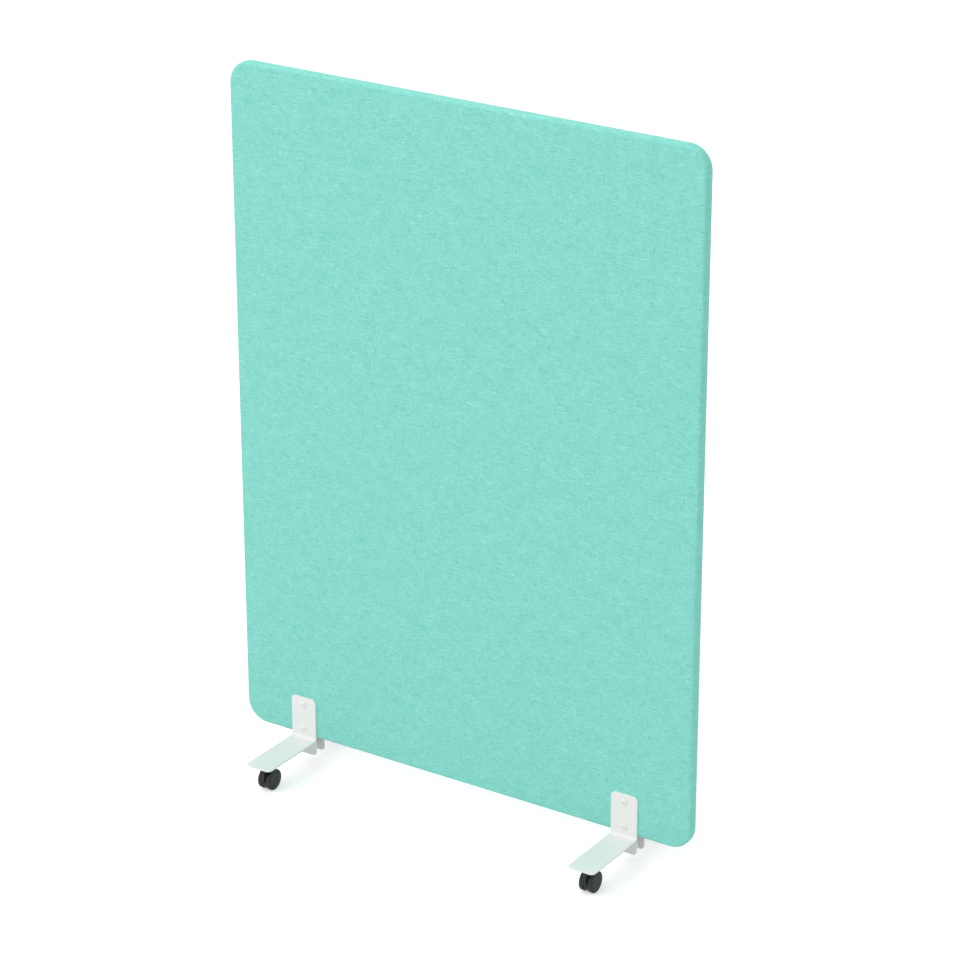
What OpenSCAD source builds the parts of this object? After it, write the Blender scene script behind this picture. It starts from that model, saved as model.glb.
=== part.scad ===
// Acoustic divider screen: an upholstered panel on four bracket feet with twin-wheel castors.
// Z is up from the floor, X runs along the panel and the front face looks along -Y.

/* [Panel] */
// Width of the panel over its fabric
panel_w = 1200; // [800:10:1600]
// Height of the panel over its fabric
panel_h = 1600; // [1000:10:1900]
// Thickness of the panel over its fabric
panel_t = 28; // [26:1:36]
// Radius of the panel's four corners
panel_r = 53; // [40:1:90]
// Radius of the soft edge round the panel's faces
edge_r = 8; // [6:0.5:8.5]
// Height of the panel's bottom edge above the floor
panel_z = 76; // [75:1:100]

/* [Upholstery] */
// Thickness of the fabric
fabric_t = 1; // [0.8:0.1:1.2]
// Thickness of the foam round the edge of the timber frame
edge_foam_t = 3; // [2.5:0.1:4]
// Width of the strip that closes the fabric underneath
strip_w = 10; // [8:1:11]
// Distance from the panel's side edge to each end of the closing strip
strip_inset = 90; // [80:5:120]
// How far the closing strip stands out of the fabric
strip_proud = 0.8; // [0.4:0.1:1.2]

/* [Timber frame] */
// Thickness of the timber frame and of the core inside it
frame_t = 18; // [15:1:19]
// Width of the rails and stiles
rail_w = 50; // [40:1:60]
// Width of each mounting block
block_w = 110; // [90:5:140]
// Height of each mounting block above the bottom rail
block_h = 80; // [60:5:120]

/* [Brackets] */
// Distance from the panel's side edge to the middle of each foot
foot_inset = 166; // [140:1:240]
// Width of the uprights and feet
plate_w = 67; // [60:1:80]
// Thickness of the uprights and feet
plate_t = 4; // [3:0.5:5]
// Radius of the plates' corners
plate_r = 10; // [6:1:14]
// Height of the uprights above the panel's bottom edge
upright_rise = 99; // [90:1:120]
// Length of the uprights below the panel's bottom edge
upright_drop = 44; // [36:1:50]
// Length of the feet in front of the uprights
foot_l = 182; // [140:1:220]
// Distance from the panel's bottom edge down to the top of the feet
foot_drop = 5; // [4:1:8]
// Radius of the weld between upright and foot
weld_r = 8; // [4:0.5:9]

/* [Screws] */
// Distance from the top of an upright to its upper screw
screw_top = 19; // [16:1:24]
// Distance between the two screws of an upright
screw_pitch = 60; // [52:1:60]
// Radius of the screw shanks
screw_r = 3; // [2.5:0.1:3.5]
// Length of the screw shanks behind their heads
screw_l = 16; // [12:1:17]
// Radius of the screw heads
head_r = 8; // [7:0.1:9]
// Height of the screw heads
head_h = 4; // [3.5:0.1:5]
// Size across the flats of the hexagon socket
socket_af = 4; // [3:0.5:5]
// Depth of the hexagon socket
socket_d = 2.4; // [2:0.1:3]
// Outer radius of the threaded sleeves through the panel
sleeve_r = 5; // [4.5:0.1:6]

/* [Castors] */
// Distance from the end of a foot to the castor's swivel axis
stem_back = 27; // [22:1:40]
// Distance from the swivel axis back to the wheel axle
trail = 18; // [14:1:22]
// Radius of the wheels
wheel_r = 25; // [24:0.5:25.5]
// Width of each wheel
wheel_w = 12; // [11:0.5:14]
// Thickness of the hood's web between the wheels
web_t = 8; // [6:0.5:9]
// Radius of the axle
axle_r = 3; // [2.5:0.1:4]
// Radius of the castor's stem
stem_r = 5; // [4.5:0.1:5.5]
// Outer radius of the threaded boss under the foot
boss_r = 9.5; // [8.5:0.1:12]
// Height of the threaded boss under the foot
boss_h = 6.5; // [6:0.5:8]
// Radius of the stem's collar
collar_r = 7.5; // [7:0.1:8]
// Height of the stem's collar
collar_h = 1.6; // [1.2:0.1:2]
// Outer radius of the hood's stem socket
hood_socket_r = 8.5; // [8:0.1:9]
// Radius of the hood's web round the axle
hood_r = 23; // [20:0.5:23.5]

/* [Clearances] */
// Gap between the fabric and what lies under it
soft_gap = 0.3; // [0.2:0.05:0.4]
// Radial gap of running shafts
run_gap = 0.05; // [0.03:0.01:0.08]
// Radial gap of fixed pins and sleeves
fixed_gap = 0.03; // [0.02:0.01:0.05]
// Radial gap of the screws in the plates
screw_gap = 0.4; // [0.2:0.05:0.6]
// Side gap between moving castor pieces
side_gap = 1; // [0.8:0.05:1.2]

/* [Hidden] */
SIDES = ["left", "right"];
FACES = ["front", "rear"];
CORNERS = [for (face = FACES, side = SIDES) str("_", face, "_", side)];
PANEL_NODES = [
    "frame_top_rail", "frame_bottom_rail", "frame_left_stile", "frame_right_stile",
    "mounting_block_left", "mounting_block_right", "acoustic_core",
    "front_foam", "rear_foam", "fabric_cover", "base_closing_strip",
    "thread_sleeves_left", "thread_sleeves_right"
];
CORNER_PIECES = [
    "upright", "foot", "screws", "castor_boss", "castor_stem", "castor_hood",
    "axle", "left_wheel", "right_wheel"
];
$fn = 48;
// One overrun serves every cut
cut = 2;

// What lies under the fabric
inner_in = fabric_t + soft_gap;
timber_in = inner_in + edge_foam_t;
timber_w = panel_w - 2 * timber_in;
timber_h = panel_h - 2 * timber_in;
timber_r = panel_r - timber_in;
timber_z = panel_z + timber_in;
rail_z = timber_z + rail_w;
// Heights of the plates
upright_top = panel_z + upright_rise;
upright_low = panel_z - upright_drop;
foot_top = panel_z - foot_drop;
foot_low = foot_top - plate_t;
// Places along X and Y of the brackets
foot_x = panel_w / 2 - foot_inset;
upright_y = -panel_t / 2 - plate_t;
foot_end = upright_y - foot_l;
stem_y = foot_end + stem_back;
axle_y = stem_y + trail;
screw_heights = [upright_top - screw_top, upright_top - screw_top - screw_pitch];
// Castor
wheel_in = web_t / 2 + side_gap;
axle_l = 2 * (wheel_in + wheel_w - wheel_w / 3);
collar_top = foot_low - boss_h;
hood_top = collar_top - collar_h - side_gap;
wheel_reach = sqrt(pow(wheel_r, 2) - pow(trail - hood_socket_r, 2));
hood_floor = wheel_r + wheel_reach + side_gap;

// A rectangle with round corners, centred on X and standing on Y = 0
module round_rect(w, h, r) {
    translate([-w / 2 + r, 0]) square([w - 2 * r, h]);
    translate([-w / 2, r]) square([w, h - 2 * r]);
    for (x = [-w / 2 + r, w / 2 - r], y = [r, h - r]) translate([x, y]) circle(r);
}

// Stands an XY outline up in the XZ plane and gives it a thickness along Y
module upright_slab(t) {
    rotate([90, 0, 0]) linear_extrude(t, center = true) children();
}

// Half of a cushion's section: w from the middle to a soft edge, and t thick
module soft_half(w, t, e) {
    translate([0, -t / 2]) square([w - e, t]);
    translate([0, -t / 2 + e]) square([w, t - 2 * e]);
    for (y = [-t / 2 + e, t / 2 - e]) translate([w - e, y]) circle(e);
}

// A slab with round corners r and soft edges e, standing on Z = 0
module soft_slab(w, h, t, r, e) {
    rotate([90, 0, 0]) {
        // middle, with the top and bottom edges
        translate([0, h / 2, 0])
            for (turn = [90, -90])
                rotate([0, 0, turn]) rotate([90, 0, 0])
                    linear_extrude(w - 2 * r, center = true) soft_half(h / 2, t, e);
        for (side = [0, 1]) mirror([side, 0, 0]) {
            // side edge
            translate([w / 2 - r, h / 2, 0]) rotate([90, 0, 0])
                linear_extrude(h - 2 * r, center = true) soft_half(r, t, e);
            // corners
            translate([w / 2 - r, h - r, 0]) rotate_extrude(angle = 90) soft_half(r, t, e);
            translate([w / 2 - r, r, 0]) rotate([0, 0, -90])
                rotate_extrude(angle = 90) soft_half(r, t, e);
        }
    }
}

// The space inside the fabric
module lining_space(gap) {
    inset = fabric_t + gap;
    translate([0, 0, panel_z + inset])
        soft_slab(panel_w - 2 * inset, panel_h - 2 * inset, panel_t - 2 * inset,
                  panel_r - inset, edge_r - inset);
}

// Outline of the timber frame, grown by a gap
module timber_outline(gap) {
    translate([0, timber_z - gap])
        round_rect(timber_w + 2 * gap, timber_h + 2 * gap, timber_r + gap);
}

// Long outline of the closing strip in plan, grown by a gap
module strip_outline(gap) {
    l = panel_w - 2 * strip_inset;
    square([l - strip_w, strip_w + 2 * gap], center = true);
    for (x = [-l / 2, l / 2]) translate([x - sign(x) * strip_w / 2, 0]) circle(strip_w / 2 + gap);
}

// Bores along Y at the screws of one side
module screw_bores(side, r, t) {
    for (z = screw_heights)
        translate([side * foot_x, 0, z]) rotate([90, 0, 0]) cylinder(r = r, h = t, center = true);
}

module both_screw_bores(r, t) {
    for (side = [-1, 1]) screw_bores(side, r, t);
}

module timber_member(x0, z0, w, h) {
    color("burlywood") difference() {
        upright_slab(frame_t) intersection() {
            timber_outline(0);
            translate([x0, z0]) square([w, h]);
        }
        both_screw_bores(sleeve_r + fixed_gap, frame_t + cut);
    }
}

module frame_stile(side) {
    x0 = side < 0 ? -timber_w / 2 : timber_w / 2 - rail_w;
    timber_member(x0, timber_z, rail_w, timber_h);
}

module frame_rail(z0) {
    timber_member(-timber_w / 2 + rail_w, z0, timber_w - 2 * rail_w, rail_w);
}

module mounting_block(side) {
    timber_member(side * foot_x - block_w / 2, rail_z, block_w, block_h);
}

module acoustic_core() {
    w = timber_w - 2 * (rail_w + soft_gap);
    h = timber_h - 2 * (rail_w + soft_gap);
    color("lightgray") upright_slab(frame_t) difference() {
        translate([-w / 2, rail_z + soft_gap]) square([w, h]);
        for (side = [-1, 1])
            translate([side * foot_x - block_w / 2 - soft_gap, rail_z - cut])
                square([block_w + 2 * soft_gap, block_h + soft_gap + cut]);
    }
}

// One half of the foam wrap, in front of the frame or behind it
module foam(face) {
    color("whitesmoke") difference() {
        intersection() {
            lining_space(soft_gap);
            translate([-panel_w / 2, face < 0 ? -panel_t : 0, panel_z])
                cube([panel_w, panel_t, panel_h]);
        }
        upright_slab(frame_t) timber_outline(0);
        both_screw_bores(sleeve_r + soft_gap, panel_t + cut);
        translate([0, 0, panel_z]) linear_extrude(timber_in + cut) strip_outline(soft_gap);
    }
}

module fabric_cover() {
    color([0.55, 0.86, 0.81]) difference() {
        translate([0, 0, panel_z]) soft_slab(panel_w, panel_h, panel_t, panel_r, edge_r);
        lining_space(0);
        both_screw_bores(sleeve_r + fixed_gap, panel_t + cut);
        translate([0, 0, panel_z - cut]) linear_extrude(fabric_t + 2 * cut) strip_outline(soft_gap);
    }
}

module base_closing_strip() {
    color("dimgray") translate([0, 0, panel_z - strip_proud])
        linear_extrude(timber_in + strip_proud) strip_outline(0);
}

// Tubes with an inside thread, which the screws of both faces meet in
module thread_sleeves(side) {
    color("silver") difference() {
        screw_bores(side, sleeve_r, panel_t);
        screw_bores(side, screw_r + run_gap, panel_t + cut);
    }
}

// Puts a piece of the front bracket, drawn at X = 0, at one corner of the base
module at_corner(side, face) {
    translate([side * foot_x, 0, 0]) mirror([0, face < 0 ? 0 : 1, 0]) children();
}

module upright() {
    color("white") difference() {
        translate([0, upright_y + plate_t / 2, upright_low])
            upright_slab(plate_t) round_rect(plate_w, upright_top - upright_low, plate_r);
        for (z = screw_heights)
            translate([0, upright_y + plate_t / 2, z]) rotate([90, 0, 0])
                cylinder(r = screw_r + screw_gap, h = plate_t + cut, center = true);
    }
}

// The foot plate with the weld that joins it to the upright
module foot() {
    color("white") {
        translate([0, foot_end, foot_low]) linear_extrude(plate_t) {
            translate([0, plate_r]) translate([-plate_w / 2, 0]) square([plate_w, foot_l - plate_r]);
            translate([-plate_w / 2 + plate_r, 0]) square([plate_w - 2 * plate_r, plate_r]);
            for (x = [-1, 1]) translate([x * (plate_w / 2 - plate_r), plate_r]) circle(plate_r);
        }
        translate([-plate_w / 2, upright_y, foot_top]) rotate([90, 0, 90])
            linear_extrude(plate_w) difference() {
                translate([-weld_r, 0]) square(weld_r);
                translate([-weld_r, weld_r]) circle(weld_r);
            }
    }
}

// A low dome on a short straight rim, with a hexagon socket, and a shank that reaches into the sleeve
module screw() {
    dome_h = head_h * 2 / 3;
    dome_r = (pow(head_r, 2) + pow(dome_h, 2)) / (2 * dome_h);
    difference() {
        intersection() {
            translate([0, 0, head_h - dome_r]) sphere(dome_r, $fn = 96);
            cylinder(r = head_r, h = head_h);
        }
        translate([0, 0, head_h - socket_d])
            cylinder(r = socket_af / sqrt(3), h = socket_d + cut, $fn = 6);
    }
    translate([0, 0, -screw_l]) cylinder(r = screw_r, h = screw_l + head_h - socket_d - plate_t / 4);
}

module screws() {
    color("white") for (z = screw_heights)
        translate([0, upright_y, z]) rotate([90, 0, 0]) screw();
}

module castor_boss() {
    color("white") translate([0, stem_y, foot_low - boss_h]) difference() {
        cylinder(r = boss_r, h = boss_h);
        translate([0, 0, -cut]) cylinder(r = stem_r + fixed_gap, h = boss_h + 2 * cut);
    }
}

module castor_stem() {
    low = hood_floor + 2 * side_gap;
    color("silver") translate([0, stem_y, 0]) {
        translate([0, 0, low]) cylinder(r = stem_r, h = foot_low - low);
        translate([0, 0, collar_top - collar_h]) cylinder(r = collar_r, h = collar_h);
    }
}

// The body of the castor: a web between the wheels, which carries the axle, and a socket for the stem
module castor_hood() {
    color([0.2, 0.2, 0.2]) difference() {
        union() {
            translate([0, axle_y, wheel_r]) rotate([90, 0, 90])
                linear_extrude(web_t, center = true) {
                    circle(hood_r);
                    translate([-trail - hood_socket_r, 0])
                        square([2 * hood_socket_r, hood_top - wheel_r]);
                }
            translate([0, stem_y, hood_floor]) cylinder(r = hood_socket_r, h = hood_top - hood_floor);
        }
        translate([0, stem_y, hood_floor + side_gap])
            cylinder(r = stem_r + run_gap, h = hood_top - hood_floor + cut);
        translate([0, axle_y, wheel_r]) rotate([0, 90, 0])
            cylinder(r = axle_r + fixed_gap, h = web_t + cut, center = true);
    }
}

module axle() {
    color("silver") translate([0, axle_y, wheel_r]) rotate([0, 90, 0])
        cylinder(r = axle_r, h = axle_l, center = true);
}

// Section of a wheel from its axis outwards, from its inner side at Y = 0 to its domed outer face
module wheel_section() {
    tread_r = wheel_w / 4;
    rim_t = wheel_w / 3;
    hub_r = 2.5 * axle_r;
    dome_h = wheel_w / 8;
    dome_r = (pow(wheel_r, 2) + pow(dome_h, 2)) / (2 * dome_h);
    difference() {
        intersection() {
            union() {
                square([wheel_r - tread_r, wheel_w]);
                translate([0, tread_r]) square([wheel_r, wheel_w - 2 * tread_r]);
                for (y = [tread_r, wheel_w - tread_r])
                    translate([wheel_r - tread_r, y]) circle(tread_r);
            }
            translate([0, wheel_w - dome_r]) circle(dome_r, $fn = 720);
        }
        translate([hub_r, -cut]) square([wheel_r - rim_t - hub_r, wheel_w - rim_t + cut]);
        translate([-cut, -cut])
            square([cut + axle_r + run_gap, cut + axle_l / 2 - wheel_in + side_gap]);
    }
}

module wheel(side) {
    color([0.27, 0.28, 0.28]) translate([0, axle_y, wheel_r]) mirror([side < 0 ? 1 : 0, 0, 0])
        translate([wheel_in, 0, 0]) rotate([0, 90, 0]) rotate_extrude() wheel_section();
}

frame_rail(timber_z + timber_h - rail_w);  // frame_top_rail
frame_rail(timber_z);  // frame_bottom_rail
frame_stile(-1);  // frame_left_stile
frame_stile(1);  // frame_right_stile
mounting_block(-1);  // mounting_block_left
mounting_block(1);  // mounting_block_right
acoustic_core();
foam(-1);  // front_foam
foam(1);  // rear_foam
fabric_cover();
base_closing_strip();
thread_sleeves(-1);  // thread_sleeves_left
thread_sleeves(1);  // thread_sleeves_right
for (face = [-1, 1], side = [-1, 1]) {
    corner = str("_", FACES[(face + 1) / 2], "_", SIDES[(side + 1) / 2]);
    at_corner(side, face) upright();
    at_corner(side, face) foot();
    at_corner(side, face) screws();
    at_corner(side, face) castor_boss();
    at_corner(side, face) castor_stem();
    at_corner(side, face) castor_hood();
    at_corner(side, face) axle();
    at_corner(side, face) wheel(-1);
    at_corner(side, face) wheel(1);
}
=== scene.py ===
"""Acoustic divider screen: upholstery, finishes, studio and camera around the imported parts."""
import logging
import math
from collections.abc import Callable, Iterator, Sequence
from dataclasses import dataclass
from enum import Enum
from typing import Any, ClassVar

import bmesh
import bpy
from mathutils import Matrix, Vector, noise
from mathutils.geometry import tessellate_polygon


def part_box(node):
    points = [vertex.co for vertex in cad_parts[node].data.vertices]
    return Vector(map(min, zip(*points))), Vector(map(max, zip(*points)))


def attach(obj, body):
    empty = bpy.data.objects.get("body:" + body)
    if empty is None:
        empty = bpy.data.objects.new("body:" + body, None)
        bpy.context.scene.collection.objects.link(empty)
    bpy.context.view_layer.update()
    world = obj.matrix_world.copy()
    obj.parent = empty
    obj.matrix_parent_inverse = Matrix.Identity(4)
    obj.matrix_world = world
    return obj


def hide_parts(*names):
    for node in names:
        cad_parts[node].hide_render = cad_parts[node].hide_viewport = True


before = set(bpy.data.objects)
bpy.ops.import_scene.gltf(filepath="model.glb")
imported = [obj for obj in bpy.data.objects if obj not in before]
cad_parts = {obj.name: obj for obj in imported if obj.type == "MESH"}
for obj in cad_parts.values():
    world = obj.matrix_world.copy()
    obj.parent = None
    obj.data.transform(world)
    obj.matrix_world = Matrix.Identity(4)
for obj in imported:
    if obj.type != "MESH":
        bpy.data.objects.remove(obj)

LOG = logging.getLogger("divider_screen")
MM = 0.001
PHOTO_SIDE = 960.0
SENSOR_WIDTH = 36.0

Colour = tuple[float, float, float]
WHITE: Colour = (1.0, 1.0, 1.0)


class Face(Enum):
    """The two faces of the panel, by the sign of Y that each looks along."""

    FRONT = -1
    REAR = 1


class Side(Enum):
    """The two ends of the panel, or the two wheels of a castor, by the sign of X."""

    LEFT = -1
    RIGHT = 1


class Axis(Enum):
    """The directions that the timber's grain can run in, as an index into a point."""

    X = 0
    Z = 2


def from_display(red: float, green: float, blue: float) -> Colour:
    """Turns a colour seen on the screen, from 0 to 255, into a linear one.

    Args:
        red: Red part of the colour.
        green: Green part of the colour.
        blue: Blue part of the colour.

    Returns:
        The same colour as linear light from 0 to 1.
    """
    parts = [part / 255 for part in (red, green, blue)]
    return tuple(p / 12.92 if p <= 0.04045 else ((p + 0.055) / 1.055) ** 2.4 for p in parts)


class Signal:
    """A value in a material's node tree, which takes part in sums as a number does."""

    def __init__(self, graph: "Graph", socket: bpy.types.NodeSocket | None) -> None:
        """Keeps the socket and the tree that it belongs to."""
        self.graph = graph
        self.socket = socket

    def _math(self, operation: str, *values: Any) -> "Signal":
        """Adds one Math node to the tree.

        Args:
            operation: The Math node's operation.
            values: Its inputs, as signals or numbers.

        Returns:
            The node's result.
        """
        inputs = dict(enumerate(values))
        return self.graph.node("ShaderNodeMath", {"operation": operation}, inputs)

    def __add__(self, other: Any) -> "Signal":
        """The sum of two values."""
        return self._math("ADD", self, other)

    def __radd__(self, other: Any) -> "Signal":
        """The sum of two values, the first a number."""
        return self._math("ADD", other, self)

    def __sub__(self, other: Any) -> "Signal":
        """The difference of two values."""
        return self._math("SUBTRACT", self, other)

    def __rsub__(self, other: Any) -> "Signal":
        """The difference of two values, the first a number."""
        return self._math("SUBTRACT", other, self)

    def __mul__(self, other: Any) -> "Signal":
        """The product of two values."""
        return self._math("MULTIPLY", self, other)

    def __rmul__(self, other: Any) -> "Signal":
        """The product of two values, the first a number."""
        return self._math("MULTIPLY", other, self)

    def __truediv__(self, other: Any) -> "Signal":
        """The quotient of two values."""
        return self._math("DIVIDE", self, other)

    def __pow__(self, other: Any) -> "Signal":
        """A value raised to a power."""
        return self._math("POWER", self, other)

    def __gt__(self, other: Any) -> "Signal":
        """1 where this value is the greater, and 0 elsewhere."""
        return self._math("GREATER_THAN", self, other)

    def __abs__(self) -> "Signal":
        """The value without its sign."""
        return self._math("ABSOLUTE", self)

    def sine(self) -> "Signal":
        """The sine of the value."""
        return self._math("SINE", self)

    def floor(self) -> "Signal":
        """The whole number below the value."""
        return self._math("FLOOR", self)

    def span(self, low: float, high: float) -> "Signal":
        """Stretches the values from low to high over 0 to 1, and stops at both.

        Args:
            low: The value that becomes 0.
            high: The value that becomes 1.

        Returns:
            The stretched value.
        """
        return self.graph.node(
            "ShaderNodeMapRange", {"clamp": True},
            {"Value": self, "From Min": low, "From Max": high},
        )


class Graph:
    """The node tree of one material or world."""

    def __init__(self, tree: bpy.types.NodeTree) -> None:
        """Empties the tree."""
        self.tree = tree
        self.tree.nodes.clear()

    def node(self, kind: str, settings: dict[str, Any] | None = None,
             inputs: dict[Any, Any] | None = None, output: str | int = 0) -> Signal:
        """Adds a node.

        Args:
            kind: Blender's name of the node type.
            settings: The node's own settings, by name.
            inputs: Values or signals for its sockets, by name or number.
            output: The name or number of the output to return.

        Returns:
            One of the node's outputs, or an empty signal where it has none.
        """
        made = self.tree.nodes.new(kind)
        for name, value in (settings or {}).items():
            setattr(made, name, value)
        for name, value in (inputs or {}).items():
            socket = made.inputs[name]
            if isinstance(value, Signal):
                self.tree.links.new(value.socket, socket)
            elif isinstance(value, tuple) and len(value) == 3 and socket.type == "RGBA":
                socket.default_value = (*value, 1.0)
            else:
                socket.default_value = value
        return Signal(self, made.outputs[output] if len(made.outputs) else None)

    def mix_colour(self, factor: Any, first: Any, second: Any, blend: str = "MIX") -> Signal:
        """Mixes two colours.

        Args:
            factor: Share of the second colour.
            first: The first colour.
            second: The second colour.
            blend: How they are blended.

        Returns:
            The mixed colour.
        """
        made = self.tree.nodes.new("ShaderNodeMix")
        made.data_type = "RGBA"
        made.blend_type = blend
        sockets = {"Factor_Float": factor, "A_Color": first, "B_Color": second}
        for socket in made.inputs:
            value = sockets.get(socket.identifier)
            if isinstance(value, Signal):
                self.tree.links.new(value.socket, socket)
            elif value is not None:
                is_colour = socket.type == "RGBA"
                socket.default_value = (*value, 1.0) if is_colour else value
        result = next(s for s in made.outputs if s.identifier == "Result_Color")
        return Signal(self, result)

    def choose(self, switch: Any, off: Any, on: Any) -> Signal:
        """Blends two values: off where the switch is 0, and on where it is 1."""
        return off + (on - off) * switch

    def point(self, x: Any, y: Any, z: Any) -> Signal:
        """Joins three values to a point."""
        return self.node("ShaderNodeCombineXYZ", None, {0: x, 1: y, 2: z})

    def split(self, place: Signal) -> tuple[Signal, Signal, Signal]:
        """Takes a point apart.

        Args:
            place: The point.

        Returns:
            Its three parts.
        """
        first = self.node("ShaderNodeSeparateXYZ", None, {0: place})
        outputs = first.socket.node.outputs
        return tuple(Signal(self, outputs[index]) for index in range(3))

    def grain(self, place: Signal, scale: float, detail: float = 2.0,
              roughness: float = 0.5) -> Signal:
        """Cloudy noise with values near 0.5.

        Args:
            place: The point to take the noise at.
            scale: How many clouds fit in a metre of the point's space.
            detail: How many finer layers are added.
            roughness: How strong the finer layers are.

        Returns:
            The noise.
        """
        return self.node(
            "ShaderNodeTexNoise", {"noise_dimensions": "3D"},
            {"Vector": place, "Scale": scale, "Detail": detail, "Roughness": roughness},
        )

    def place(self) -> Signal:
        """The point on the object, in metres."""
        return self.node("ShaderNodeTexCoord", None, None, "Object")

    def bump(self, height: Signal, distance: float, strength: float = 1.0,
             normal: Signal | None = None) -> Signal:
        """Turns a height into a bumpy normal.

        Args:
            height: The height, from 0 to 1.
            distance: The real height of 1, in metres.
            strength: How much of the bump shows.
            normal: The normal that the bump is added to.

        Returns:
            The normal.
        """
        inputs = {"Height": height, "Distance": distance, "Strength": strength}
        if normal is not None:
            inputs["Normal"] = normal
        return self.node("ShaderNodeBump", None, inputs)

    def soft_edges(self, radius: float) -> Signal | None:
        """Rounds every sharp edge a little in the shading.

        Args:
            radius: How wide the rounding is.

        Returns:
            The normal, or nothing for a radius of 0.
        """
        if not radius:
            return None
        return self.node("ShaderNodeBevel", {"samples": 6}, {"Radius": radius})

    def surface(self, **sockets: Any) -> None:
        """Ends the tree in one Principled shader.

        Args:
            sockets: Its sockets, with underscores for the spaces in their names.
        """
        inputs = {name.replace("_", " "): value for name, value in sockets.items()}
        shader = self.node("ShaderNodeBsdfPrincipled", None, inputs)
        self.finish(shader)

    def finish(self, shader: Signal) -> None:
        """Joins a shader to the material's output."""
        self.node("ShaderNodeOutputMaterial", None, {"Surface": shader})


class Finish:
    """A finish that can be put on pieces; each kind fills in its own nodes."""

    name: str

    def nodes(self, graph: Graph) -> None:
        """Fills the material's tree."""
        raise NotImplementedError

    def material(self) -> bpy.types.Material:
        """Makes the material, or finds the one made before under the same name.

        Returns:
            The material.
        """
        found = bpy.data.materials.get(self.name)
        if found is None:
            found = bpy.data.materials.new(self.name)
            found.use_nodes = True
            self.nodes(Graph(found.node_tree))
        return found

    def dress(self, piece: bpy.types.Object) -> None:
        """Puts the finish on a whole piece."""
        piece.data.materials.clear()
        piece.data.materials.append(self.material())


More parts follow.
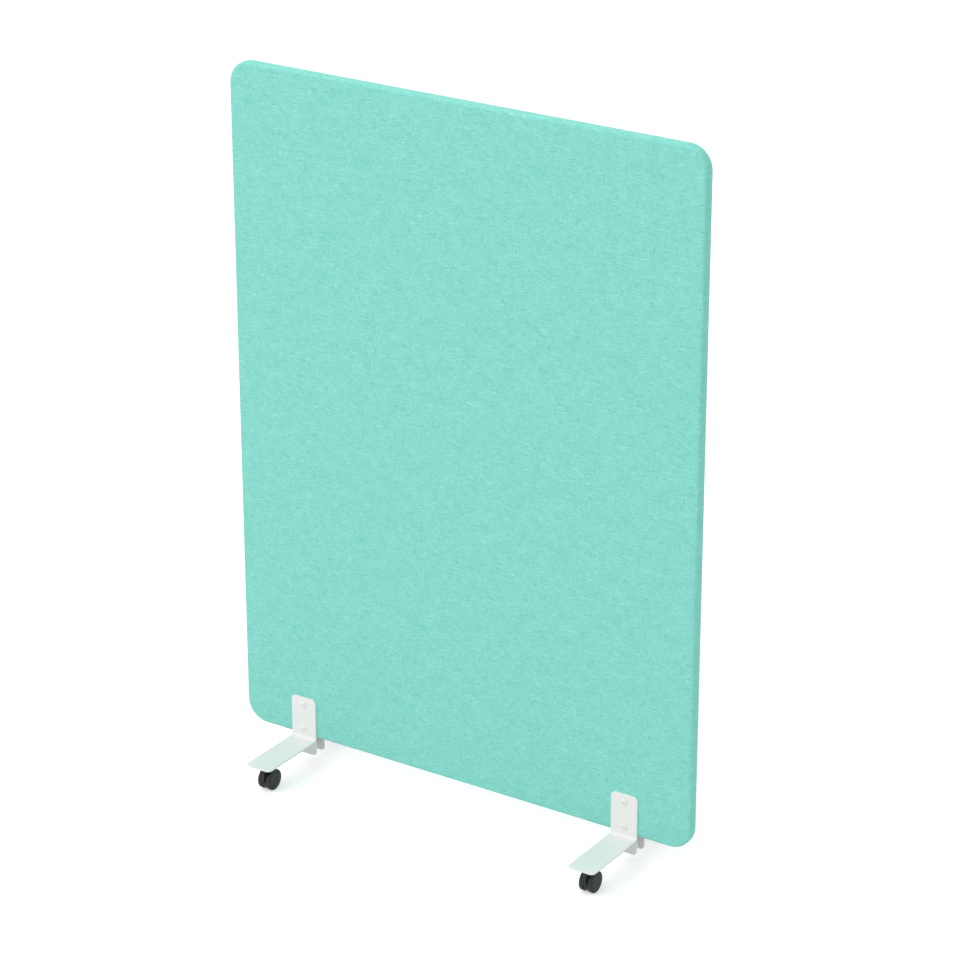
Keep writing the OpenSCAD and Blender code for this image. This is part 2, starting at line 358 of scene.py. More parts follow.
@dataclass(frozen=True)
class MelangeWeave(Finish):
    """Plain-woven upholstery cloth of mixed yarns, with lighter and darker slubs both ways."""

    name: str = "melange_weave"
    colour: Colour = from_display(135, 219, 206)
    light: Colour = from_display(181, 246, 238)
    dark: Colour = from_display(84, 184, 166)
    yarn: float = 0.95 * MM
    slub: float = 18 * MM
    slub_width: float = 0.62
    even_tone: float = 0.02
    slub_tone: float = 1400.0
    slub_power: float = 4.0
    sway: float = 1.6 * MM
    sway_scale: float = 160.0
    sway_stretch: float = 0.4
    bend: float = 0.45
    roundness: float = 0.5
    warp_tone: float = 0.75
    weft_tone: float = 1.25
    fibre_scale: float = 5200.0
    fibre_stretch: float = 0.25
    fibre_twist: float = 0.2
    fibre_tone: float = 0.22
    cloud_scale: float = 28.0
    cloud_tone: float = 0.08
    full_tone: float = 0.20
    # Painted shade by yarn height: the colour's factor in the gaps between yarns, and how much it
    # rises towards the crests.
    painted_valley_shade: float = 0.60
    painted_crest_light: float = 0.52
    yarn_relief: float = 0.8
    fibre_relief: float = 0.2
    cloud_relief: float = 0.3
    bump_height: float = 0.30 * MM

    def _slubs(self, graph: Graph, along: Signal, number: Signal, seed: float) -> Signal:
        """The tone of one set of yarns: mostly even, with a few short light and dark slubs.

        Args:
            graph: The tree to add to.
            along: Distance along the yarns, in metres.
            number: Number of the yarn.
            seed: Keeps the two sets apart.

        Returns:
            The tone, near 0.
        """
        spot = graph.point(along / self.slub, number * self.slub_width + seed, seed)
        tone = graph.grain(spot, 1.0, 2.0, 0.6) - 0.5
        return tone * (self.even_tone + self.slub_tone * tone ** self.slub_power)

    def _swayed(self, graph: Graph, across: Signal, along: Signal, seed: float) -> Signal:
        """Finds the place across one set of yarns, which wander a little.

        Args:
            graph: The tree to add to.
            across: Distance across the yarns, in metres.
            along: Distance along the yarns, in metres.
            seed: Keeps the two sets apart.

        Returns:
            The place, counted in yarns.
        """
        spot = graph.point(across * self.sway_stretch, along, seed)
        drift = graph.grain(spot, self.sway_scale, 2.0, 0.7) - 0.5
        return (across + drift * self.sway) / self.yarn

    def nodes(self, graph: Graph) -> None:
        """Fills the material's tree.

        The warp runs up the panel and the weft across it. The two change places over and under
        each other, and the yarn that lies higher at a point gives its colour and height. The
        colour is also painted darker in the low gaps between the yarns and a little lighter on
        their crests, as painted shade and painted light by height.

        Args:
            graph: The tree.
        """
        laid = graph.node("ShaderNodeAttribute", {"attribute_name": Upholstery.LAID}, None,
                          "Vector")
        u, v, _ = graph.split(laid)
        a = self._swayed(graph, u, v, 11.0)
        b = self._swayed(graph, v, u, 23.0)
        wave_a = (a * math.pi).sine()
        wave_b = (b * math.pi).sine()
        lift = self.bend * (2.0 * (wave_a * wave_b > 0.0) - 1.0)
        warp = abs(wave_a) ** self.roundness + abs(wave_b) * lift
        weft = abs(wave_b) ** self.roundness - abs(wave_a) * lift
        warp_up = warp > weft
        height = graph.choose(warp_up, weft, warp) / (1.0 + self.bend)
        tone = graph.choose(warp_up, self._slubs(graph, u, b.floor(), 47.7) * self.weft_tone,
                            self._slubs(graph, v, a.floor(), 3.1) * self.warp_tone)
        along = graph.choose(warp_up, u, v)
        across = graph.choose(warp_up, v, u)
        twisted = graph.point(along * self.fibre_stretch, across + along * self.fibre_twist,
                              warp_up)
        fibre = graph.grain(twisted, self.fibre_scale, 2.0, 0.6)
        cloud = graph.grain(graph.point(u, v, 7.0), self.cloud_scale, 3.0, 0.6)
        shade = tone + (fibre - 0.5) * self.fibre_tone + (cloud - 0.5) * self.cloud_tone
        lighter = shade.span(0.0, self.full_tone)
        darker = 1.0 - shade.span(-self.full_tone, 0.0)
        colour = graph.mix_colour(lighter, self.colour, self.light)
        colour = graph.mix_colour(darker, colour, self.dark)
        # Painted shade and light: the colour is multiplied by a factor that rises with the yarn's
        # height, darkest in the gaps between yarns and a little lighter than the yarn's own colour
        # on the crests.
        depth = self.painted_valley_shade + self.painted_crest_light * height
        lit = graph.mix_colour(1.0, colour, graph.point(depth, depth, depth), "MULTIPLY")
        relief = (height * self.yarn_relief + fibre * self.fibre_relief
                  + cloud * self.cloud_relief)
        graph.surface(
            Base_Color=lit,
            Roughness=0.86 - 0.08 * height,
            Specular_IOR_Level=0.28,
            Sheen_Weight=0.12,
            Sheen_Roughness=0.55,
            Sheen_Tint=(0.75, 1.0, 0.96, 1.0),
            Normal=graph.bump(relief, self.bump_height, 0.7),
        )


@dataclass(frozen=True)
class PowderCoat(Finish):
    """Satin powder coat on steel, with a faint orange peel; edge softens the sharp edges."""

    name: str = "white_powder_coat"
    colour: Colour = from_display(237, 237, 235)
    peel_scale: float = 900.0
    peel_height: float = 0.035 * MM
    haze_scale: float = 38.0
    haze_share: float = 0.98
    edge: float = 0.0

    def nodes(self, graph: Graph) -> None:
        """Fills the material's tree.

        Args:
            graph: The tree.
        """
        place = graph.place()
        peel = graph.grain(place, self.peel_scale, 1.0, 0.4)
        haze = graph.grain(place, self.haze_scale, 3.0, 0.55)
        dull = tuple(part * self.haze_share for part in self.colour)
        graph.surface(
            Base_Color=graph.mix_colour(haze.span(0.35, 0.70), self.colour, dull),
            Roughness=0.44 + 0.06 * haze,
            Specular_IOR_Level=0.45,
            Normal=graph.bump(peel, self.peel_height, 0.5, graph.soft_edges(self.edge)),
        )


@dataclass(frozen=True)
class MouldedPlastic(Finish):
    """Dark moulded plastic with a fine spark-eroded grain and faint scuffs."""

    name: str
    colour: Colour
    roughness: float
    edge: float = 0.5 * MM
    spark_scale: float = 1500.0
    spark_height: float = 0.03 * MM
    scuff_scale: float = 70.0
    scuff_share: float = 0.45
    scuff_gain: float = 1.5
    scuff_lift: float = 0.006

    def nodes(self, graph: Graph) -> None:
        """Fills the material's tree.

        Args:
            graph: The tree.
        """
        place = graph.place()
        spark = graph.grain(place, self.spark_scale, 2.0, 0.6)
        scuff = graph.grain(place, self.scuff_scale, 4.0, 0.7).span(0.52, 0.78)
        paler = tuple(part * self.scuff_gain + self.scuff_lift for part in self.colour)
        graph.surface(
            Base_Color=graph.mix_colour(scuff * self.scuff_share, self.colour, paler),
            Roughness=self.roughness + 0.14 * scuff + 0.06 * spark,
            Specular_IOR_Level=0.30,
            Normal=graph.bump(spark, self.spark_height, 0.5, graph.soft_edges(self.edge)),
        )


@dataclass(frozen=True)
class ZincPlate(Finish):
    """Turned steel with bright zinc plating."""

    name: str = "zinc_plate"
    colour: Colour = (0.62, 0.63, 0.64)
    along_scale: float = 20.0
    ring_scale: float = 900.0
    ring_height: float = 0.02 * MM
    bloom_scale: float = 120.0
    bloom_share: float = 0.82
    edge: float = 0.3 * MM

    def nodes(self, graph: Graph) -> None:
        """Fills the material's tree.

        Args:
            graph: The tree.
        """
        place = graph.place()
        x, y, z = graph.split(place)
        stretched = graph.point(x * self.along_scale, y * self.along_scale, z * self.ring_scale)
        rings = graph.grain(stretched, 1.0, 2.0, 0.6)
        bloom = graph.grain(place, self.bloom_scale, 3.0, 0.6)
        dull = tuple(part * self.bloom_share for part in self.colour)
        graph.surface(
            Base_Color=graph.mix_colour(bloom.span(0.4, 0.7), self.colour, dull),
            Metallic=1.0,
            Roughness=0.26 + 0.16 * rings,
            Normal=graph.bump(rings, self.ring_height, 0.5, graph.soft_edges(self.edge)),
        )


@dataclass(frozen=True)
class SawnTimber(Finish):
    """Planed softwood with its grain along one axis."""

    name: str = "sawn_timber"
    grain_axis: Axis = Axis.X
    pale: Colour = from_display(222, 190, 146)
    late: Colour = from_display(184, 138, 88)
    scale: float = 60.0
    stretch: float = 0.04
    band_count: float = 38.0
    band_height: float = 0.08 * MM

    def nodes(self, graph: Graph) -> None:
        """Fills the material's tree.

        Args:
            graph: The tree.
        """
        parts = [part * self.scale for part in graph.split(graph.place())]
        parts[self.grain_axis.value] = parts[self.grain_axis.value] * self.stretch
        rings = graph.grain(graph.point(*parts), 2.0, 4.0, 0.6)
        bands = ((rings * self.band_count).sine() * 0.5 + 0.5) ** 2.0
        graph.surface(
            Base_Color=graph.mix_colour(bands, self.pale, self.late),
            Roughness=0.62 + 0.12 * bands,
            Normal=graph.bump(bands, self.band_height, 0.4),
        )


@dataclass(frozen=True)
class PressedFibre(Finish):
    """Board or foam of fine matted fibres or cells."""

    name: str = "pressed_fibre"
    pale: Colour = from_display(176, 176, 172)
    deep: Colour = from_display(118, 118, 116)
    cell_scale: float = 420.0
    cell_height: float = 0.4 * MM
    cell_share: float = 0.6
    clump_scale: float = 45.0
    clump_share: float = 0.4

    def nodes(self, graph: Graph) -> None:
        """Fills the material's tree.

        Args:
            graph: The tree.
        """
        place = graph.place()
        cells = graph.grain(place, self.cell_scale, 4.0, 0.7)
        clumps = graph.grain(place, self.clump_scale, 3.0, 0.6)
        blend = (cells * self.cell_share + clumps * self.clump_share).span(0.38, 0.62)
        graph.surface(
            Base_Color=graph.mix_colour(blend, self.deep, self.pale),
            Roughness=0.9,
            Normal=graph.bump(cells, self.cell_height, 0.6),
        )


@dataclass
class Upholstery:
    """The fabric-covered panel: a taut cloth over foam, with soft edges and round corners."""

    LAID: ClassVar[str] = "laid_flat"

    corner_r: float = 53 * MM
    edge_r: float = 8 * MM
    crown: float = 0.7 * MM
    crown_reach: float = 1.6
    ripple: float = 0.35 * MM
    ripple_length: float = 170 * MM
    step: float = 14 * MM
    corner_steps: int = 18
    edge_steps: int = 8
    inner_rings: tuple[float, ...] = (0.12, 0.28, 0.50, 0.74, 1.0)

    def __post_init__(self) -> None:
        """Takes the panel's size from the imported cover."""
        low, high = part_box("fabric_cover")
        self.width = high.x - low.x
        self.height = high.z - low.z
        self.thickness = high.y - low.y
        self.middle = (low + high) / 2
        self.across = round((self.width - 2 * self.corner_r) / self.step)
        self.up = round((self.height - 2 * self.corner_r) / self.step)

    def _outline(self, inset: float) -> Iterator[tuple[Vector, Vector]]:
        """The points of a ring round the panel, in the XZ plane, with their outward directions.

        Args:
            inset: Distance from the panel's outline to the ring.

        Yields:
            Each point and its outward direction, going round once.
        """
        reach_x = self.width / 2 - self.corner_r
        reach_z = self.height / 2 - self.corner_r
        radius = self.corner_r - inset
        turns = [(1, -1, -90, self.up), (1, 1, 0, self.across),
                 (-1, 1, 90, self.up), (-1, -1, 180, self.across)]
        for index, (side_x, side_z, start, count) in enumerate(turns):
            centre = Vector((side_x * reach_x, 0, side_z * reach_z))
            for step in range(self.corner_steps):
                angle = math.radians(start + 90 * step / self.corner_steps)
                out = Vector((math.cos(angle), 0, math.sin(angle)))
                yield centre + out * radius, out
            angle = math.radians(start + 90)
            out = Vector((math.cos(angle), 0, math.sin(angle)))
            next_x, next_z = turns[(index + 1) % 4][:2]
            goal = Vector((next_x * reach_x, 0, next_z * reach_z))
            for step in range(count):
                yield centre.lerp(goal, step / count) + out * radius, out

    def _rings(self) -> list[tuple[float, float, float]]:
        """The rings of one face, from the middle of the edge inwards.

        Returns:
            For each ring its inset, its distance in front of the panel's middle, and the cloth's
            length from the start of the flat face out to it.
        """
        flat = self.thickness / 2 - self.edge_r
        quarter = self.edge_r * math.pi / 2
        rings = [(0.0, flat * share, quarter + flat * (1 - share)) for share in (0.0, 0.5)]
        for step in range(self.edge_steps + 1):
            angle = math.radians(90 * step / self.edge_steps)
            inset = self.edge_r * (1 - math.cos(angle))
            ahead = flat + self.edge_r * math.sin(angle)
            rings.append((inset, ahead, quarter - self.edge_r * angle))
        span = self.corner_r - self.edge_r
        rings += [(self.edge_r + span * share, self.thickness / 2, 0.0)
                  for share in self.inner_rings]
        return rings

    def _relief(self, spot: Vector, inset: float) -> float:
        """Works out the low crown and the faint ripple of the cloth.

        Args:
            spot: The point of the face.
            inset: Its distance from the panel's outline.

        Returns:
            How far the cloth stands out of a flat face there.
        """
        reach = self.corner_r * self.crown_reach
        rise = min(1.0, max(0.0, (inset - self.edge_r) / reach))
        wave = noise.noise(spot / self.ripple_length)
        return self.crown * math.sin(rise * math.pi / 2) + self.ripple * wave * rise

    def _face(self, mesh: bmesh.types.BMesh, layer: Any, face: Face) -> None:
        """Builds one face of the panel, out to the middle of its edge.

        Args:
            mesh: The mesh to add to.
            layer: Where the cloth's flat coordinates are kept.
            face: Which face.
        """
        starts = [point for point, _ in self._outline(self.edge_r)]
        loops = []
        for inset, ahead, length in self._rings():
            loop = []
            for (point, out), start in zip(self._outline(inset), starts):
                forward = ahead + self._relief(point, inset)
                vertex = mesh.verts.new(Vector((point.x, face.value * forward, point.z)))
                laid = start + out * length if length else point
                vertex[layer] = Vector((laid.x, laid.z, 0))
                loop.append(vertex)
            loops.append(loop)
        count = len(starts)
        for outer, inner in zip(loops, loops[1:]):
            for i in range(count):
                j = (i + 1) % count
                mesh.faces.new((outer[i], outer[j], inner[j], inner[i]))
        self._field(mesh, layer, face)

    def _field(self, mesh: bmesh.types.BMesh, layer: Any, face: Face) -> None:
        """Fills the flat field inside the innermost ring with a regular grid.

        Args:
            mesh: The mesh to add to.
            layer: Where the cloth's flat coordinates are kept.
            face: Which face.
        """
        reach_x = self.width / 2 - self.corner_r
        reach_z = self.height / 2 - self.corner_r
        rows = []
        for k in range(self.up + 1):
            z = -reach_z + 2 * reach_z * k / self.up
            row = []
            for i in range(self.across + 1):
                x = -reach_x + 2 * reach_x * i / self.across
                inset = min(self.width / 2 - abs(x), self.height / 2 - abs(z))
                spot = Vector((x, 0, z))
                forward = self.thickness / 2 + self._relief(spot, inset)
                vertex = mesh.verts.new(Vector((x, face.value * forward, z)))
                vertex[layer] = Vector((x, z, 0))
                row.append(vertex)
            rows.append(row)
        for lower, upper in zip(rows, rows[1:]):
            for i in range(self.across):
                mesh.faces.new((lower[i], lower[i + 1], upper[i + 1], upper[i]))

    def build(self) -> bpy.types.Object:
        """Makes the covered panel in place of the plain packed one.

        Returns:
            The panel's object.
        """
        mesh = bmesh.new()
        layer = mesh.verts.layers.float_vector.new(self.LAID)
        for face in Face:
            self._face(mesh, layer, face)
        bmesh.ops.remove_doubles(mesh, verts=mesh.verts, dist=0.01 * MM)
        bmesh.ops.recalc_face_normals(mesh, faces=mesh.faces)
        data = bpy.data.meshes.new("upholstered_panel")
        mesh.to_mesh(data)
        mesh.free()
        data.transform(Matrix.Translation(self.middle))
        data.shade_smooth()
        piece = bpy.data.objects.new("upholstered_panel", data)
        bpy.context.scene.collection.objects.link(piece)
        MelangeWeave().dress(piece)
        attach(piece, "screen")
        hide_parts("fabric_cover")
        LOG.info("%s: %d faces", piece.name, len(data.polygons))
        return piece


@dataclass
class PanelInside:
    """What the cloth covers: the timber frame, the core, the foam and the threaded sleeves."""

    foam_pale: Colour = from_display(236, 236, 230)
    foam_deep: Colour = from_display(212, 212, 204)
    foam_cells: float = 700.0
    strip_colour: Colour = from_display(38, 39, 40)
    strip_roughness: float = 0.55

    def dress(self) -> None:
        """Puts a finish on each hidden piece."""
        along_x = SawnTimber("timber_along_x", Axis.X)
        along_z = SawnTimber("timber_along_z", Axis.Z)
        foam = PressedFibre("white_foam", self.foam_pale, self.foam_deep, self.foam_cells)
        strip = MouldedPlastic("strip_moulding", self.strip_colour, self.strip_roughness)
        finishes = {
            "frame_top_rail": along_x, "frame_bottom_rail": along_x,
            "frame_left_stile": along_z, "frame_right_stile": along_z,
            "mounting_block_left": along_z, "mounting_block_right": along_z,
            "acoustic_core": PressedFibre(), "front_foam": foam, "rear_foam": foam,
            "thread_sleeves_left": ZincPlate(), "thread_sleeves_right": ZincPlate(),
            "base_closing_strip": strip,
        }
        for node, finish in finishes.items():
            finish.dress(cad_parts[node])
            LOG.info("%s: %s", node, finish.name)


def arc(centre: tuple[float, float], radius: float, start: float, end: float,
        steps: int) -> list[tuple[float, float]]:
    """Points on a part of a circle.

    Args:
        centre: The circle's centre.
        radius: The circle's radius.
        start: Angle of the first point, in degrees.
        end: Angle of the last point, in degrees.
        steps: How many steps lie between the two.

    Returns:
        The points, both ends among them.
    """
    turns = [math.radians(start + (end - start) * step / steps) for step in range(steps + 1)]
    return [(centre[0] + radius * math.cos(turn), centre[1] + radius * math.sin(turn))
            for turn in turns]


@dataclass(frozen=True)
class PlateOutline:
    """A rectangle with round corners, in a plate's own plane: u across it and v along it."""

    low: tuple[float, float]
    high: tuple[float, float]
    low_r: float
    high_r: float
    corner_steps: int = 8

    def points(self, inset: float) -> list[tuple[float, float]]:
        """The outline moved inwards.

        Args:
            inset: How far inwards.

        Returns:
            Its points, going round once.
        """
        half_u, half_v = ((b - a) / 2 for a, b in zip(self.low, self.high))
        middle_u, middle_v = ((a + b) / 2 for a, b in zip(self.low, self.high))
        points = []
        for side_u, side_v, start in ((1, -1, -90), (1, 1, 0), (-1, 1, 90), (-1, -1, 180)):
            radius = self.high_r if side_v > 0 else self.low_r
            centre = (middle_u + side_u * (half_u - radius), middle_v + side_v * (half_v - radius))
            points += arc(centre, radius - inset, start, start + 90, self.corner_steps)
        return points


class PieceMesh:
    """A mesh of plates or turned forms with softened edges, built in a frame of its own."""

    EDGE: ClassVar[float] = 0.6 * MM
    EDGE_STEPS: ClassVar[int] = 4
    RIM: ClassVar[float] = 0.4 * MM
    SEAM: ClassVar[float] = 0.01 * MM
    HOLLOW_STEPS: ClassVar[int] = 12
    SHARP_ANGLE: ClassVar[float] = 35.0

    def __init__(self, place: Callable[[float, float, float], Vector]) -> None:
        """Starts an empty mesh.

        Args:
            place: Turns a point of the mesh's own frame into a point of the scene.
        """
        self.mesh = bmesh.new()
        self.place = place

    def _loop(self, points: Sequence[tuple[float, float, float]]) -> list[bmesh.types.BMVert]:
        """Adds a ring of points."""
        return [self.mesh.verts.new(self.place(*point)) for point in points]

    def _join(self, rings: Sequence[list[bmesh.types.BMVert]]) -> None:
        """Joins each ring to the next with four-sided faces.

        Args:
            rings: The rings, each with as many points as the next.
        """
        for first, second in zip(rings, rings[1:]):
            for i in range(len(first)):
                j = (i + 1) % len(first)
                self.mesh.faces.new((first[i], first[j], second[j], second[i]))

    def _edge(self) -> list[tuple[float, float]]:
        """The points of a softened edge: how far each lies along it and how far it falls back."""
        turns = [math.radians(90 * step / self.EDGE_STEPS) for step in range(self.EDGE_STEPS + 1)]
        return [(self.EDGE * math.sin(turn), self.EDGE * (1 - math.cos(turn))) for turn in turns]

    def plate(self, outline: PlateOutline, thickness: float,
              holes: Sequence[list[tuple[float, float]]] = ()) -> None:
        """Adds a flat plate.

        Args:
            outline: Its outline.
            thickness: Its thickness.
            holes: The outline of each hole through it.
        """
        section = [(self.EDGE + self.RIM, 0.0)]
        section += [(self.EDGE - along, fall) for along, fall in self._edge()]
        section += [(inset, thickness - w) for inset, w in reversed(section)]
        rings = [self._loop([(u, v, w) for u, v in outline.points(inset)]) for inset, w in section]
        self._join(rings)
        bores = [[self._loop([(u, v, w) for u, v in hole]) for w in (0.0, thickness)]
                 for hole in holes]
        for bore in bores:
            self._join(bore)
        for ring, end in ((rings[0], 0), (rings[-1], 1)):
            loops = [ring] + [bore[end] for bore in bores]
            verts = [vertex for loop in loops for vertex in loop]
            for triangle in tessellate_polygon([[vertex.co for vertex in loop] for loop in loops]):
                self.mesh.faces.new([verts[index] for index in triangle])

    def weld(self, half_width: float, radius: float, height: float) -> None:
        """Adds a hollow weld along v = 0, on a plate whose upper side is at a height.

        Args:
            half_width: Half of its length along u.
            radius: Radius of its hollow.
            height: Height of the plate's upper side.
        """
        end = [(half_width - self.EDGE + along, self.SEAM + fall) for along, fall in self._edge()]
        stations = [(-u, fall) for u, fall in reversed(end)] + end
        rings = []
        for u, fall in stations:
            hollow = arc((radius, height + radius), radius + fall, 180, 270, self.HOLLOW_STEPS)
            rings.append(self._loop([(u, v, w) for v, w in hollow] + [(u, -MM, height - MM)]))
        self._join(rings)
        self.mesh.faces.new(rings[0])
        self.mesh.faces.new(rings[-1])

    def turned(self, section: Sequence[tuple[float, float]], steps: int = 96) -> None:
        """Adds a form turned about the w axis, with flat ends.

        Args:
            section: The radius and place along the axis of each ring.
            steps: How many sides each ring has.
        """
        turns = [2 * math.pi * step / steps for step in range(steps)]
        rings = [self._loop([(r * math.cos(turn), r * math.sin(turn), w) for turn in turns])
                 for r, w in section]
        self._join(rings)
        self.mesh.faces.new(rings[0])
        self.mesh.faces.new(rings[-1])

    def piece(self, name: str) -> bpy.types.Object:
        """Ends the mesh.

        Args:
            name: The piece's name.

        Returns:
            The piece, shaded smooth across its softened edges.
        """
        bmesh.ops.recalc_face_normals(self.mesh, faces=self.mesh.faces)
        data = bpy.data.meshes.new(name)
        self.mesh.to_mesh(data)
        self.mesh.free()
        data.shade_smooth()
        data.set_sharp_from_angle(angle=math.radians(self.SHARP_ANGLE))
        piece = bpy.data.objects.new(name, data)
        bpy.context.scene.collection.objects.link(piece)
        return piece


@dataclass
class BracketFoot:
    """One of the four feet: upright, foot plate, screws, and the castor that it stands on."""

    # How far aside and how deep each point of a groove lies, in groove widths.
    GROOVE: ClassVar[tuple[tuple[float, float], ...]] = (
        (0.8, 0.0), (0.5, 0.15), (0.35, 0.6), (-0.35, 0.6), (-0.5, 0.15), (-0.8, 0.0))

    face: Face
    side: Side
    plate_r: float = 10 * MM
    square_r: float = 1.2 * MM
    weld_r: float = 8 * MM
    hole_r: float = 3.4 * MM
    hole_steps: int = 24
    bore_r: float = 3.05 * MM
    hub_r: float = 7.5 * MM
    hub_rings: tuple[float, ...] = (0.7, 0.4, 0.15)
    shoulder_r: float = 1.6 * MM
    shoulder_turn: float = 84.0
    groove: float = 0.8 * MM
    wheel_steps: int = 8
    wheel_colour: Colour = from_display(42, 43, 43)
    hood_colour: Colour = from_display(38, 39, 39)
    castor_roughness: float = 0.50
    turned_edge: float = 0.3 * MM

    def __post_init__(self) -> None:
        """Takes the bracket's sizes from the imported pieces."""
        self.corner = f"{self.face.name.lower()}_{self.side.name.lower()}"
        low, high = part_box(f"upright_{self.corner}")
        self.low_z, self.high_z = low.z, high.z
        self.half_width = (high.x - low.x) / 2
        self.middle_x = (low.x + high.x) / 2
        self.inner_y = min(abs(low.y), abs(high.y))
        self.thickness = high.y - low.y
        low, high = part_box(f"foot_{self.corner}")
        self.foot_low = low.z
        self.foot_end = max(abs(low.y), abs(high.y))
        low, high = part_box(f"screws_{self.corner}")
        head_r = (high.x - low.x) / 2
        self.screw_heights = (low.z + head_r, high.z - head_r)

    def _stand_in(self, mesh: PieceMesh, node: str, finish: Finish, body: str) -> None:
        """Puts a built piece in the scene in place of a packed one.

        Args:
            mesh: The built piece's mesh.
            node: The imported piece's name without the corner.
            finish: The finish that it gets.
            body: The body that it moves with.
        """
        piece = mesh.piece(f"{node}_detailed_{self.corner}")
        finish.dress(piece)
        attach(piece, body)
        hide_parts(f"{node}_{self.corner}")
        LOG.info("%s: %d faces", piece.name, len(piece.data.polygons))

    def _upright(self, coat: PowderCoat) -> None:
        """Builds the upright, with a hole for each screw.

        Args:
            coat: Its finish.
        """
        mesh = PieceMesh(lambda u, v, w: Vector(
            (self.middle_x + u, self.face.value * (self.inner_y + w), v)))
        outline = PlateOutline((-self.half_width, self.low_z), (self.half_width, self.high_z),
                               self.plate_r, self.plate_r)
        turns = [2 * math.pi * step / self.hole_steps for step in range(self.hole_steps)]
        holes = [[(self.hole_r * math.cos(turn), height + self.hole_r * math.sin(turn))
                  for turn in turns] for height in self.screw_heights]
        mesh.plate(outline, self.thickness, holes)
        self._stand_in(mesh, "upright", coat, "screen")

    def _foot(self, coat: PowderCoat) -> None:
        """Builds the foot plate and its weld; the plate's square end is sunk in the upright.

        Args:
            coat: Its finish.
        """
        outer_y = self.inner_y + self.thickness
        mesh = PieceMesh(lambda u, v, w: Vector(
            (self.middle_x + u, self.face.value * (outer_y + v), self.foot_low + w)))
        outline = PlateOutline((-self.half_width, -self.square_r),
                               (self.half_width, self.foot_end - outer_y),
                               self.square_r, self.plate_r)
        mesh.plate(outline, self.thickness)
        mesh.weld(self.half_width, self.weld_r, self.thickness)
        self._stand_in(mesh, "foot", coat, "screen")

    def _wheel_section(self, radius: float, width: float) -> list[tuple[float, float]]:
        """Half of a wheel's section, from the end of its bore round to the middle of its face.

        Args:
            radius: The wheel's radius.
            width: The wheel's width.

        Returns:
            The radius and the distance from the wheel's inner side of each point.
        """
        wall = width / 3
        tread_r = width / 4
        dome = width / 8
        bore_end = 0.75 * width
        low = width - wall

        def face(r: float, sunk: float = 0.0) -> tuple[float, float]:
            """A point of the domed outer face."""
            return r, width - dome * (r / radius) ** 2 - sunk

        section = [(self.bore_r, bore_end), (self.bore_r, 0.0), (self.hub_r, 0.0),
                   (self.hub_r, low), (radius - wall, low), (radius - wall, 0.0)]
        section += arc((radius - tread_r, tread_r), tread_r, -90, 0, self.wheel_steps)
        shoulder = (radius - self.shoulder_r, face(radius)[1] - self.shoulder_r)
        section += arc(shoulder, self.shoulder_r, 0, self.shoulder_turn, self.wheel_steps)
        for groove_r in (radius - wall, self.hub_r):
            section += [face(groove_r + self.groove * aside, self.groove * depth)
                        for aside, depth in self.GROOVE]
        return section + [face(self.hub_r * share) for share in self.hub_rings]

    def _wheel(self, hand: Side, plastic: MouldedPlastic) -> None:
        """Builds a wheel, with a hollow inner side, a rounded tread and a hub cap.

        Args:
            hand: Which of the castor's two wheels.
            plastic: Its finish.
        """
        node = f"{hand.name.lower()}_wheel"
        low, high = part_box(f"{node}_{self.corner}")
        middle = (low + high) / 2
        inner_x = low.x if hand is Side.RIGHT else high.x
        mesh = PieceMesh(lambda u, v, w: Vector(
            (inner_x + hand.value * w, middle.y + u, middle.z + v)))
        mesh.turned(self._wheel_section((high.z - low.z) / 2, high.x - low.x))
        self._stand_in(mesh, node, plastic, f"{node}_of_castor_{self.corner}")

    def build(self) -> None:
        """Builds the plates and wheels, and puts a finish on the other pieces of the foot."""
        coat = PowderCoat()
        self._upright(coat)
        self._foot(coat)
        rough = self.castor_roughness
        for hand in Side:
            self._wheel(hand, MouldedPlastic("wheel_moulding", self.wheel_colour, rough, 0.0))
        turned = PowderCoat("turned_part_coat", edge=self.turned_edge)
        zinc = ZincPlate()
        hood = MouldedPlastic("hood_moulding", self.hood_colour, rough)
        finishes = {"screws": turned, "castor_boss": turned, "castor_stem": zinc, "axle": zinc,
                    "castor_hood": hood}
        for piece, finish in finishes.items():
            node = f"{piece}_{self.corner}"
            finish.dress(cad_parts[node])
            LOG.info("%s: %s", node, finish.name)


@dataclass(frozen=True)
class StudioFloor(Finish):
    """A white floor that shows pure white to the camera where nothing shades it."""

    name: str = "studio_floor"
    colour: Colour = (0.82, 0.82, 0.82)
    glow: float = 0.42

    def nodes(self, graph: Graph) -> None:
        """Fills the material's tree.

        Args:
            graph: The tree.
        """
        path = graph.node("ShaderNodeLightPath", None, None, "Is Camera Ray")
        glossy = graph.node("ShaderNodeLightPath", None, None, "Is Glossy Ray")
        direct = (path + glossy).span(0.0, 1.0)
        paint = graph.node("ShaderNodeBsdfDiffuse", None, {"Color": self.colour})
        light = graph.node("ShaderNodeEmission", None,
                           {"Color": WHITE, "Strength": direct * self.glow})
        graph.finish(graph.node("ShaderNodeAddShader", None, {0: paint, 1: light}))


@dataclass(frozen=True)
class SoftLamp:
    """A large soft lamp that points at the screen."""

    name: str
    power: float
    size: float
    place: tuple[float, float, float]

    def hang(self, aim: Vector) -> None:
        """Hangs the lamp in its place.

        Args:
            aim: The point that it looks at.
        """
        data = bpy.data.lights.new(self.name, "AREA")
        data.energy = self.power
        data.size = self.size
        piece = bpy.data.objects.new(self.name, data)
        bpy.context.scene.collection.objects.link(piece)
        piece.location = self.place
        piece.rotation_euler = (aim - Vector(self.place)).to_track_quat("-Z", "Y").to_euler()


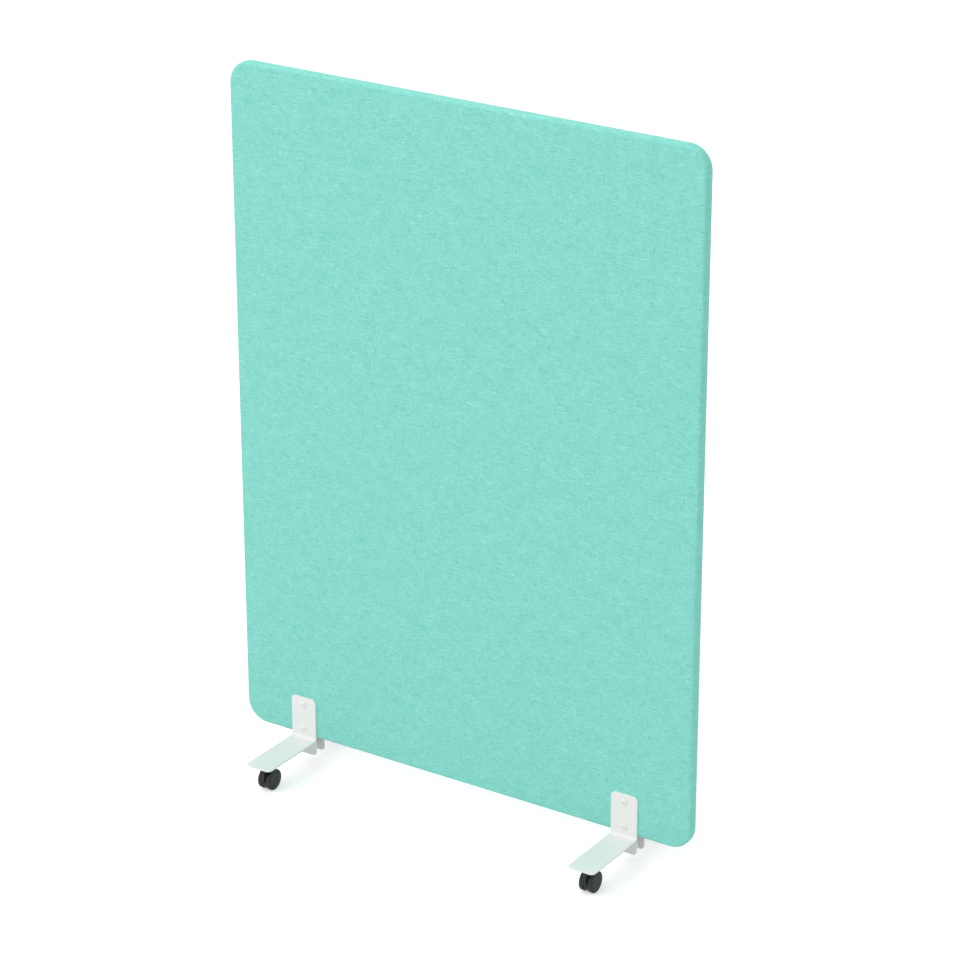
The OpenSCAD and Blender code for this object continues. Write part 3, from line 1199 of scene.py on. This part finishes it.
@dataclass
class Studio:
    """The white floor, the even light of the room and the soft lamps."""

    floor_size: float = 16.0
    room_light: float = 0.76
    aim: tuple[float, float, float] = (0.0, 0.0, 0.9)
    lamps: tuple[SoftLamp, ...] = (
        SoftLamp("key_lamp", 765.0, 7.5, (-5.4, -9.6, 10.95)),
        SoftLamp("top_lamp", 60.0, 4.0, (0.4, 1.0, 7.0)),
    )

    def floor(self) -> bpy.types.Object:
        """Lays the floor.

        Returns:
            The floor's object.
        """
        half = self.floor_size / 2
        square = [(-half, -half, 0), (half, -half, 0), (half, half, 0), (-half, half, 0)]
        data = bpy.data.meshes.new("studio_floor")
        data.from_pydata(square, [], [(0, 1, 2, 3)])
        piece = bpy.data.objects.new("studio_floor", data)
        bpy.context.scene.collection.objects.link(piece)
        StudioFloor().dress(piece)
        return piece

    def room(self) -> None:
        """Fills the room with even light, which the camera sees as plain white."""
        world = bpy.data.worlds.new("studio_room")
        world.use_nodes = True
        bpy.context.scene.world = world
        graph = Graph(world.node_tree)
        camera = graph.node("ShaderNodeLightPath", None, None, "Is Camera Ray")
        glossy = graph.node("ShaderNodeLightPath", None, None, "Is Glossy Ray")
        passed = graph.node("ShaderNodeLightPath", None, None, "Is Transmission Ray")
        seen = (camera + glossy + passed).span(0.0, 1.0)
        strength = graph.choose(seen, self.room_light, 1.0)
        back = graph.node("ShaderNodeBackground", None, {"Color": WHITE, "Strength": strength})
        graph.node("ShaderNodeOutputWorld", None, {"Surface": back})

    def build(self) -> None:
        """Sets up the floor, the room's light and the lamps."""
        self.floor()
        self.room()
        for lamp in self.lamps:
            lamp.hang(Vector(self.aim))
        bpy.context.scene.view_settings.view_transform = "Standard"
        LOG.info("studio: floor %.0f m, %d lamps", self.floor_size, len(self.lamps))


@dataclass
class PhotoCamera:
    """The camera at the photograph's viewpoint."""

    yaw: float = 33.35
    pitch: float = 22.86
    roll: float = -0.06
    distance: float = 7.506
    focal_px: float = 3447.0
    target: tuple[float, float, float] = (0.045, 0.0, 0.826)

    def build(self) -> bpy.types.Object:
        """Makes the camera the scene's own.

        Returns:
            The camera's object.
        """
        yaw, pitch, roll = (math.radians(a) for a in (self.yaw, self.pitch, self.roll))
        back = Vector((math.sin(yaw) * math.cos(pitch), -math.cos(yaw) * math.cos(pitch),
                       math.sin(pitch)))
        level = (-back).cross(Vector((0, 0, 1))).normalized()
        rise = level.cross(-back)
        right = level * math.cos(roll) + rise * math.sin(roll)
        up = rise * math.cos(roll) - level * math.sin(roll)
        data = bpy.data.cameras.new("photo_camera")
        data.sensor_width = SENSOR_WIDTH
        data.lens = self.focal_px / PHOTO_SIDE * SENSOR_WIDTH
        piece = bpy.data.objects.new("photo_camera", data)
        bpy.context.scene.collection.objects.link(piece)
        spot = Vector(self.target) + back * self.distance
        turn = Matrix((right, up, back)).transposed().to_4x4()
        piece.matrix_world = Matrix.Translation(spot) @ turn
        bpy.context.scene.camera = piece
        return piece


def main() -> None:
    """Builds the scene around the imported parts."""
    logging.basicConfig(level=logging.INFO, format="%(message)s")
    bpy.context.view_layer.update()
    PhotoCamera().build()
    Studio().build()
    Upholstery().build()
    PanelInside().dress()
    for face in Face:
        for side in Side:
            BracketFoot(face, side).build()


if __name__ == "__main__":
    main()
